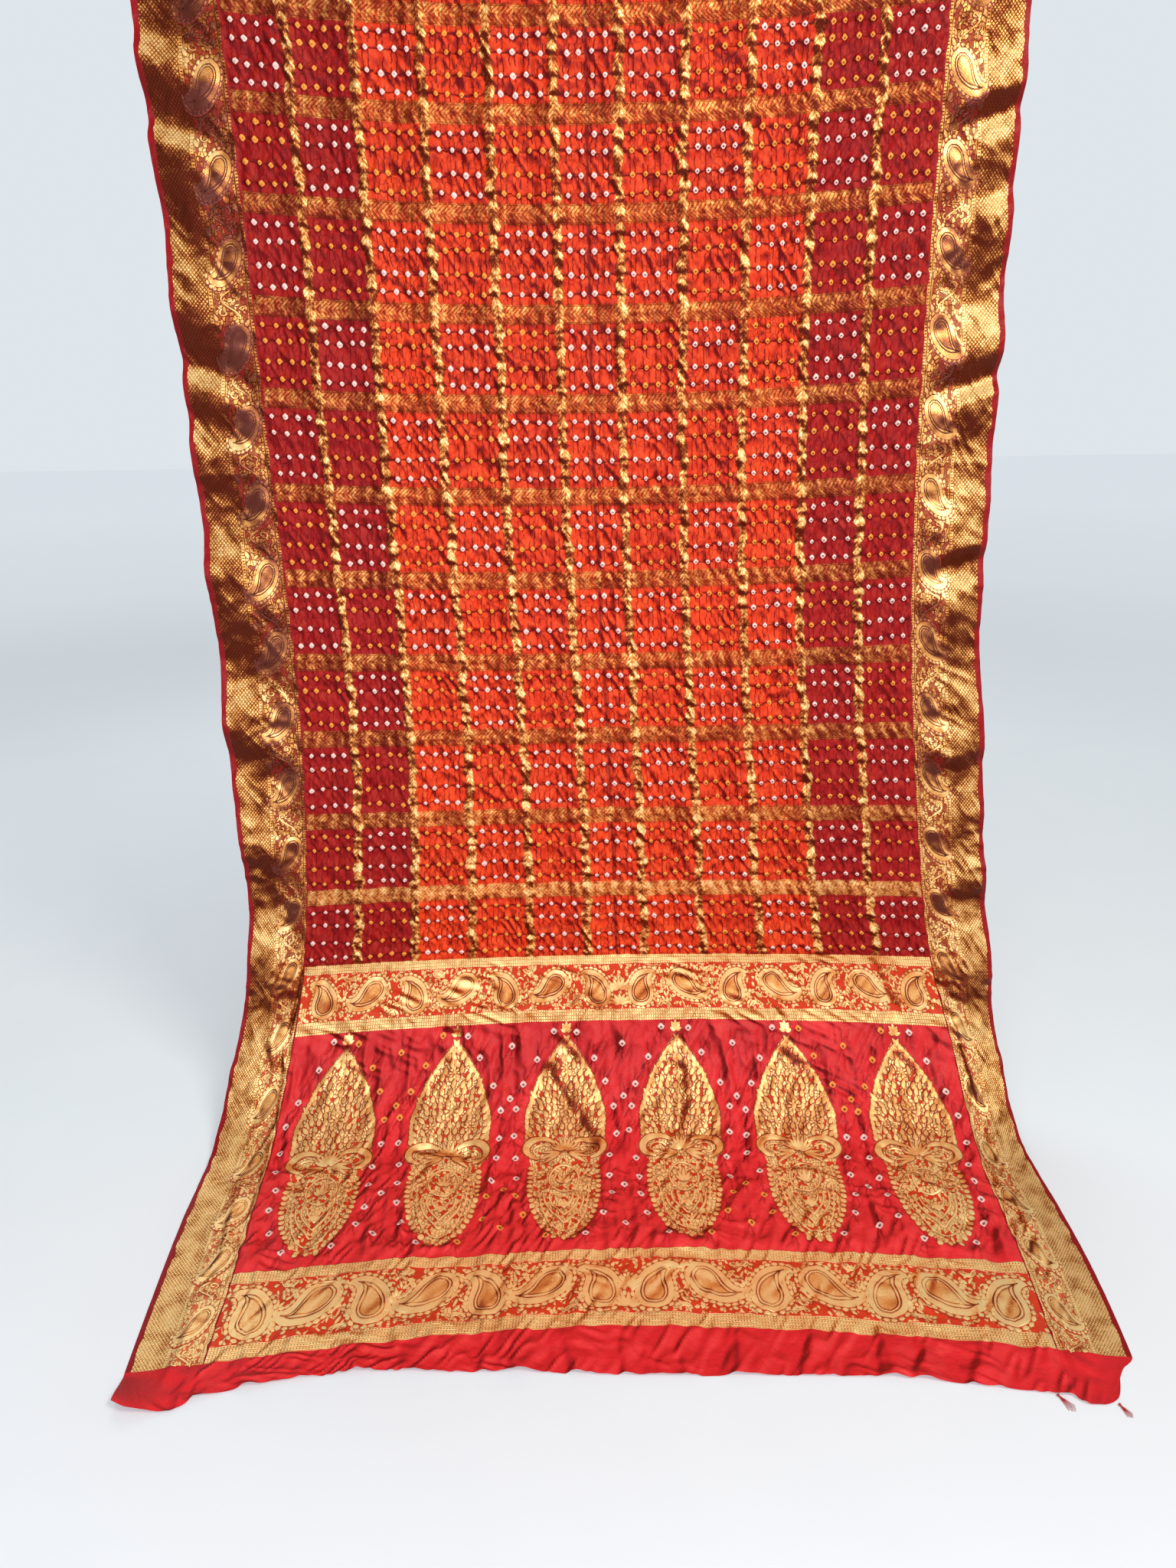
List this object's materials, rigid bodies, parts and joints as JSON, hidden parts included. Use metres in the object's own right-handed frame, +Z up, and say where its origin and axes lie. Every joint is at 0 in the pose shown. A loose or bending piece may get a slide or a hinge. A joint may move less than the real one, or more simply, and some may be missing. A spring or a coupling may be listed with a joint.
{
  "type": "tie-dyed silk cloth length with gold checks",
  "caption": "Tie-dyed red silk cloth with a gold check, broad gold borders and a patterned end, hung from its top hem and sweeping out over the floor.",
  "frame": {"origin": "middle of the top hem, in the middle of the cloth's thickness", "axes": "+X to the right, +Y into the wall behind the cloth, +Z up; the face of the cloth looks along -Y"},
  "size_m": [1.1838, 0.614, 1.6263],
  "materials": {
    "silk": "tie-dyed silk with woven gold thread",
    "thread": "loose silk thread"
  },
  "bodies": {
    "root": {"cloth": "silk", "thread_tuft_1": "thread", "thread_tuft_2": "thread"}
  },
  "joints": []
}
